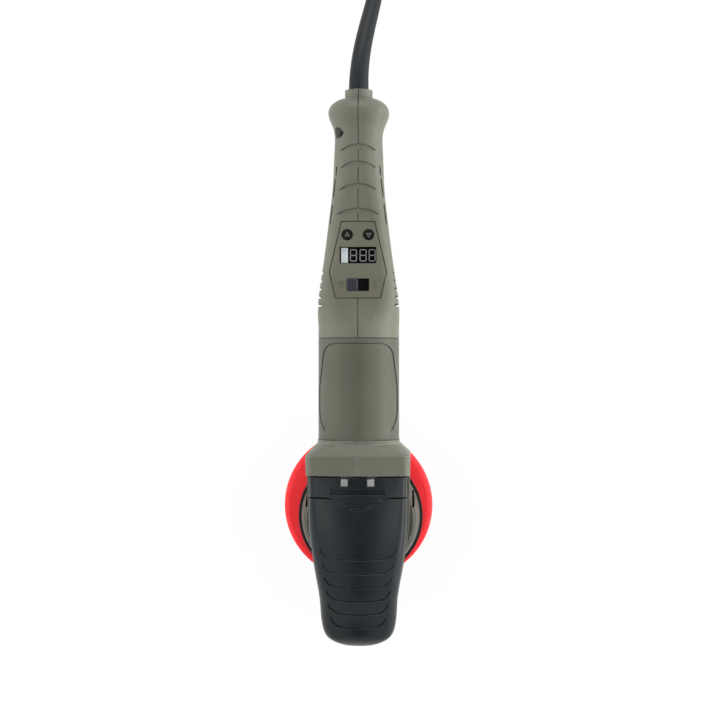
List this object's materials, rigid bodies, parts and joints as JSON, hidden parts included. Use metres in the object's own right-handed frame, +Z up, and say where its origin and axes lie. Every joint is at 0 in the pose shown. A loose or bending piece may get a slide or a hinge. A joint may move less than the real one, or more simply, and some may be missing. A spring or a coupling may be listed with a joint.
{
  "type": "random orbital polisher",
  "caption": "Long-handled random orbital polisher with an inline motor, digital speed panel, ribbed front grip, skirted orbit drive, round backing plate and a coiled mains cord.",
  "frame": {"origin": "on the main spindle's axis, in the plane of the pad face", "axes": "+X to the tool's right, +Y from the spindle back towards the cord, +Z up"},
  "size_m": [0.177, 0.8049, 0.1169],
  "materials": {
    "olive_plastic": "fine texture",
    "panel_plastic": "fine texture",
    "black_grip": "soft touch",
    "tab_plastic": "satin",
    "black_rubber": "matt",
    "cord_rubber": "satin",
    "red_urethane": "satin",
    "hook_fabric": "napped",
    "black_nylon": "moulded",
    "steel": "turned",
    "black_steel": "blackened",
    "bearing_steel": "ground",
    "iron": "cast",
    "cast_aluminium": "die cast",
    "bronze": "sintered",
    "copper": "enamelled wire",
    "brass": "drawn",
    "lamination": "laminated",
    "carbon": "carbon",
    "red_fibre": "moulded",
    "lens": "smoked",
    "display_black": "gloss",
    "board_green": "solder mask",
    "switch_black": "moulded",
    "button_rubber": "matt",
    "controller_grey": "potted",
    "strap_fabric": "woven",
    "plug_metal": "nickel plated"
  },
  "bodies": {
    "plate": {"hook_face": "hook_fabric", "backing_plate": "red_urethane", "plate_hub": "black_nylon", "plate_stud": "steel", "plate_spindle": "steel", "plate_bearing_inner": "bearing_steel"},
    "spindle": {"eccentric_spindle": "steel", "counterweight": "iron", "counterweight_screws": "steel", "plate_bearing_outer": "bearing_steel", "spindle_bearing_inner": "bearing_steel", "bevel_gear": "steel"},
    "rotor": {"armature_shaft": "steel", "armature_core": "lamination", "armature_windings": "copper", "commutator": "copper", "cooling_fan": "black_nylon", "pinion": "steel", "motor_bearings_inner": "bearing_steel"},
    "switch_slider": {"switch_slider": "switch_black"},
    "speed_down_button": {"speed_down_button": "button_rubber"},
    "speed_up_button": {"speed_up_button": "button_rubber"},
    "housing": {"motor_housing": "olive_plastic", "head_shell": "olive_plastic", "handle_left": "olive_plastic", "handle_right": "olive_plastic", "control_panel": "panel_plastic", "vent_band": "black_grip", "front_grip": "black_grip", "latch_tabs": "tab_plastic", "shroud": "olive_plastic", "shroud_lip": "black_rubber", "gear_case": "cast_aluminium", "bearing_flange": "cast_aluminium", "case_screws": "steel", "spindle_bearing_outer": "bearing_steel", "top_bush": "bronze", "bearing_retainer": "steel", "motor_bearings_outer": "bearing_steel", "field_core": "lamination", "field_coils": "copper", "bearing_bridge": "red_fibre", "brush_holders": "brass", "carbon_brushes": "carbon", "handle_screws": "black_steel", "display_lens": "lens", "display_module": "display_black", "circuit_board": "board_green", "tact_switches": "switch_black", "main_switch": "switch_black", "speed_controller": "controller_grey", "cable_clamp": "black_nylon", "cord_entry": "cord_rubber", "cord_boot": "cord_rubber", "cord_lead": "cord_rubber", "cord_coil": "cord_rubber", "cord_tail": "cord_rubber", "cord_tie": "strap_fabric", "plug_body": "cord_rubber", "plug_pins": "plug_metal"}
  },
  "joints": [
    {"name": "spindle_spin", "type": "hinge", "parent": "housing", "child": "spindle", "pos_m": [0, 0, 0.05], "axis": [0, 0, 1], "continuous": true},
    {"name": "plate_spin", "type": "hinge", "parent": "spindle", "child": "plate", "pos_m": [-0.00232, 0.00713, 0.03], "axis": [0, 0, 1], "continuous": true},
    {"name": "rotor_spin", "type": "hinge", "parent": "housing", "child": "rotor", "pos_m": [0, 0.1, 0.08], "axis": [0, 1, 0], "continuous": true},
    {"name": "switch_slide", "type": "slide", "parent": "housing", "child": "switch_slider", "axis": [1, 0, 0], "range_m": [0, 0.008]},
    {"name": "speed_down_press", "type": "slide", "parent": "housing", "child": "speed_down_button", "axis": [0, 0, -1], "range_m": [0, 0.001], "stiffness_N_per_m": 600},
    {"name": "speed_up_press", "type": "slide", "parent": "housing", "child": "speed_up_button", "axis": [0, 0, -1], "range_m": [0, 0.001], "stiffness_N_per_m": 600}
  ],
  "couplings": [
    {"joint": "rotor_spin", "follows": "spindle_spin", "ratio": 3}
  ]
}
